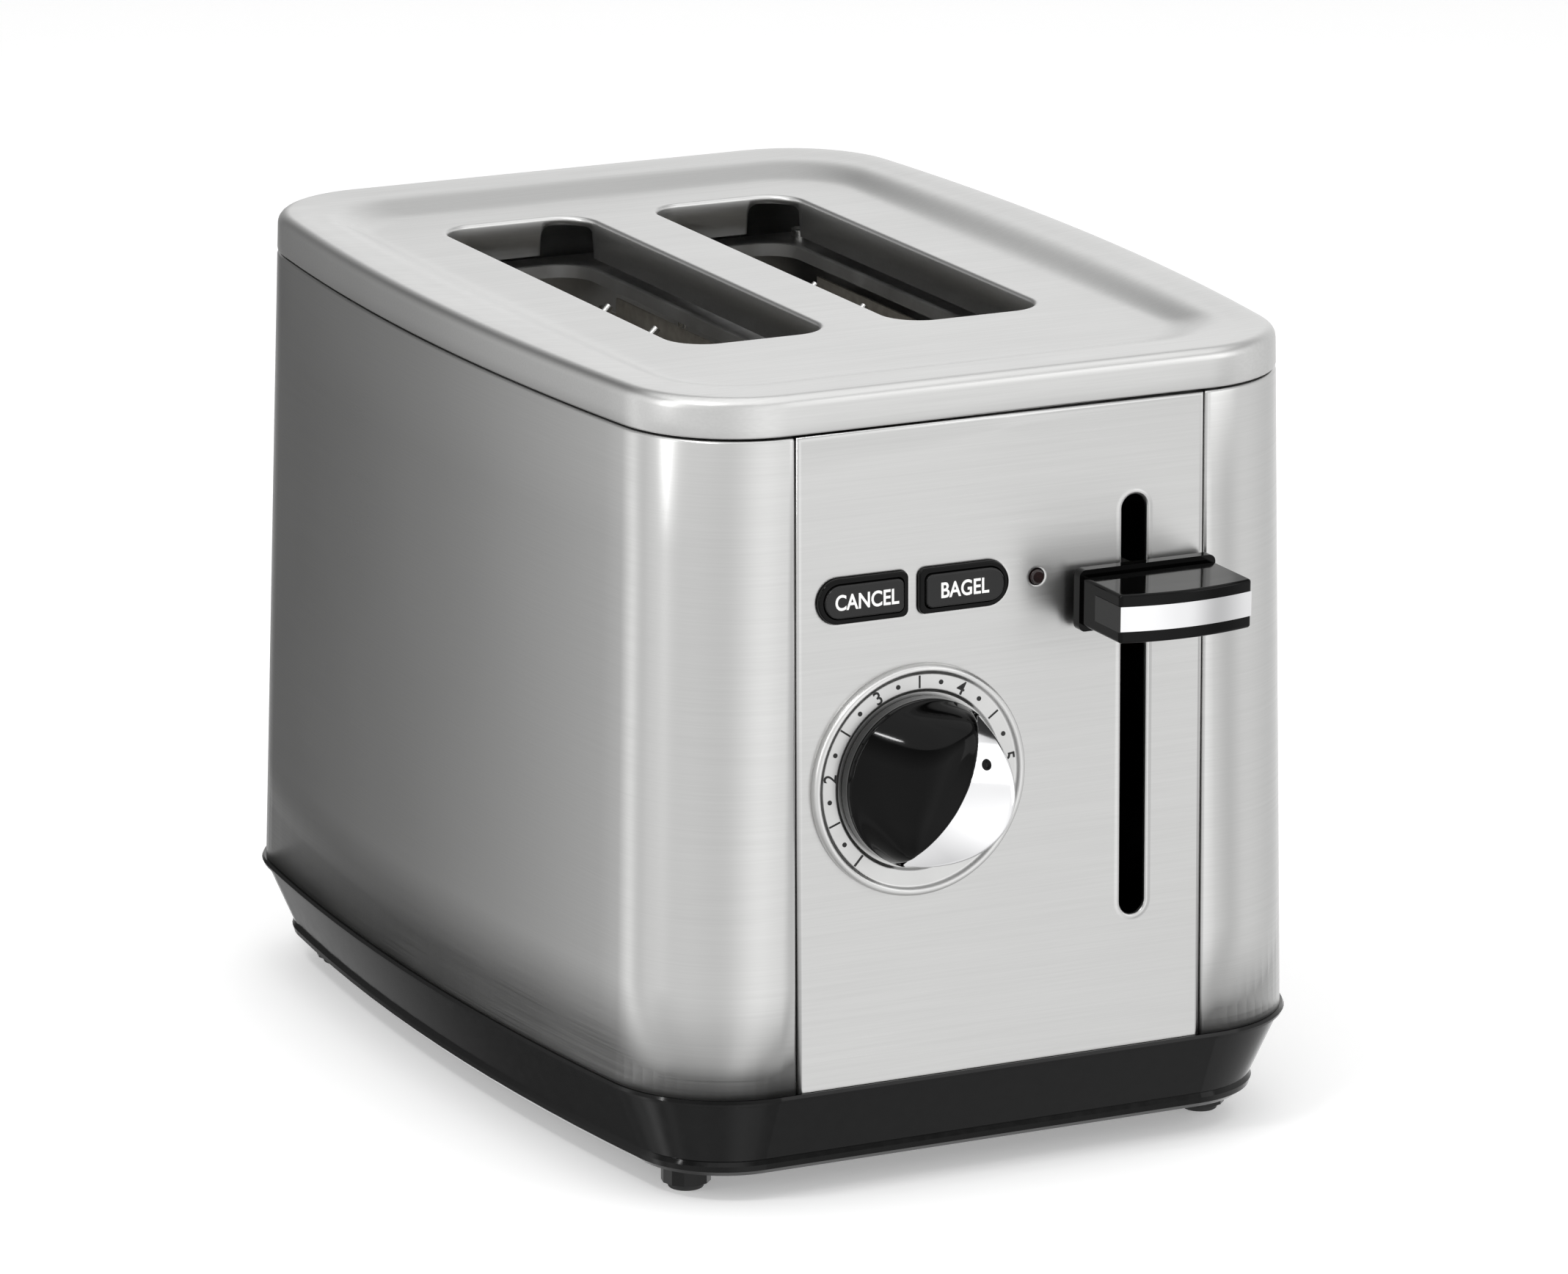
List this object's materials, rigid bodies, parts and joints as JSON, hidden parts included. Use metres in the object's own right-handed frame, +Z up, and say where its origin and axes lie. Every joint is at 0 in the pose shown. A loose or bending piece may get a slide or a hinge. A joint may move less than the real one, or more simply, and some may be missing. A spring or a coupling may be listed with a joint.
{
  "type": "pop up toaster",
  "caption": "Pop-up toaster with brushed steel walls, a recessed steel lid with bread slots, black base, lever, browning dial and push buttons.",
  "frame": {"origin": "under the middle of the whole toaster's box, on the surface it stands on", "axes": "+Z up, +Y from the lever and dial face towards the rear, +X to the right seen from the front"},
  "size_m": [0.182, 0.2658, 0.1862],
  "materials": {
    "satin_steel": "satin pressed stainless steel",
    "brushed_steel": "stainless steel brushed along the body",
    "black_base": "gloss moulded black",
    "pad_rubber": "soft black rubber",
    "inner_steel": "plain aluminised steel sheet",
    "wire_steel": "drawn steel wire",
    "copper_winding": "enamelled copper wire",
    "circuit_board": "laminate board",
    "component_black": "matt moulded plastic",
    "component_white": "white moulded plastic",
    "dial_metal": "satin dished ring",
    "gloss_black": "high-gloss black",
    "lens_dark": "dark clear lens, unlit",
    "bright_chrome": "bright chrome plate",
    "button_black": "moulded black with printed word",
    "mica_sheet": "pressed mica sheet",
    "heating_ribbon": "nickel-chrome ribbon"
  },
  "bodies": {
    "chassis": {"base": "black_base", "base_screws": "wire_steel", "board_components": "component_black", "board_screws": "wire_steel", "board_spacers": "wire_steel", "browning_control": "component_black", "button_bezels": "gloss_black", "button_switches": "component_black", "control_board": "circuit_board", "cord_grommet": "pad_rubber", "dial_bezel": "dial_metal", "electromagnet_coil": "copper_winding", "electromagnet_core": "inner_steel", "feet": "black_base", "foot_pads": "pad_rubber", "frame_screws": "wire_steel", "front_frame_plate": "inner_steel", "front_panel": "brushed_steel", "guide_rod": "wire_steel", "heater_winding_centre": "heating_ribbon", "heater_winding_left": "heating_ribbon", "heater_winding_right": "heating_ribbon", "indicator_lens": "lens_dark", "inner_top_plate": "inner_steel", "left_reflector": "inner_steel", "left_shell": "brushed_steel", "mica_card_centre": "mica_sheet", "mica_card_left": "mica_sheet", "mica_card_right": "mica_sheet", "rear_frame_plate": "inner_steel", "rear_panel": "brushed_steel", "return_spring": "wire_steel", "right_reflector": "inner_steel", "right_shell": "brushed_steel", "rod_bracket": "inner_steel", "terminal_block": "component_white", "top_cover": "satin_steel"},
    "lever_carriage": {"carriage": "inner_steel", "carriage_bush": "component_black", "lever_arm": "inner_steel", "lever_handle": "gloss_black", "lever_band": "bright_chrome", "latch_plate": "inner_steel", "bread_lifter_left": "inner_steel", "bread_lifter_right": "inner_steel"},
    "browning_dial": {"dial_knob_cap": "gloss_black", "dial_knob_band": "bright_chrome", "dial_shaft": "wire_steel"},
    "cancel_key": {"cancel_button": "button_black"},
    "bagel_key": {"bagel_button": "button_black"},
    "crumb_drawer": {"crumb_tray": "inner_steel", "crumb_tray_pull": "black_base"},
    "outer_guide_left_grill": {"outer_guide_left": "wire_steel"},
    "inner_guide_left_grill": {"inner_guide_left": "wire_steel"},
    "inner_guide_right_grill": {"inner_guide_right": "wire_steel"},
    "outer_guide_right_grill": {"outer_guide_right": "wire_steel"}
  },
  "joints": [
    {"name": "lever_slide", "type": "slide", "parent": "chassis", "child": "lever_carriage", "axis": [0, 0, 1], "range_m": [-0.07, 0.013], "stiffness_N_per_m": 120, "springref_m": 0.0068, "deforming": ["return_spring"]},
    {"name": "dial_turn", "type": "hinge", "parent": "chassis", "child": "browning_dial", "pos_m": [-0.0213, -0.10883, 0.096], "axis": [0, -0.9998, 0.0209], "range_deg": [-64, 211]},
    {"name": "cancel_press", "type": "slide", "parent": "chassis", "child": "cancel_key", "axis": [0, 0.9998, -0.0209], "range_m": [0, 0.0015], "stiffness_N_per_m": 400, "springref_m": -0.001},
    {"name": "bagel_press", "type": "slide", "parent": "chassis", "child": "bagel_key", "axis": [0, 0.9998, -0.0209], "range_m": [0, 0.0015], "stiffness_N_per_m": 400, "springref_m": -0.001},
    {"name": "crumb_drawer_slide", "type": "slide", "parent": "chassis", "child": "crumb_drawer", "axis": [0, 1, 0], "range_m": [0, 0.16]},
    {"name": "outer_guide_left_swing", "type": "hinge", "parent": "chassis", "child": "outer_guide_left_grill", "pos_m": [-0.0441, 0.02492, 0.04], "axis": [0, 1, 0], "range_deg": [-1.1, 5.2]},
    {"name": "inner_guide_left_swing", "type": "hinge", "parent": "chassis", "child": "inner_guide_left_grill", "pos_m": [-0.0111, 0.02492, 0.04], "axis": [0, 1, 0], "range_deg": [-5.2, 1.1]},
    {"name": "inner_guide_right_swing", "type": "hinge", "parent": "chassis", "child": "inner_guide_right_grill", "pos_m": [0.0111, 0.02492, 0.04], "axis": [0, 1, 0], "range_deg": [-1.1, 5.2]},
    {"name": "outer_guide_right_swing", "type": "hinge", "parent": "chassis", "child": "outer_guide_right_grill", "pos_m": [0.0441, 0.02492, 0.04], "axis": [0, 1, 0], "range_deg": [-5.2, 1.1]}
  ],
  "couplings": [
    {"joint": "outer_guide_left_swing", "follows": "lever_slide", "rad_per_m": -1.2467},
    {"joint": "inner_guide_left_swing", "follows": "lever_slide", "rad_per_m": 1.2467},
    {"joint": "inner_guide_right_swing", "follows": "lever_slide", "rad_per_m": -1.2467},
    {"joint": "outer_guide_right_swing", "follows": "lever_slide", "rad_per_m": 1.2467}
  ]
}
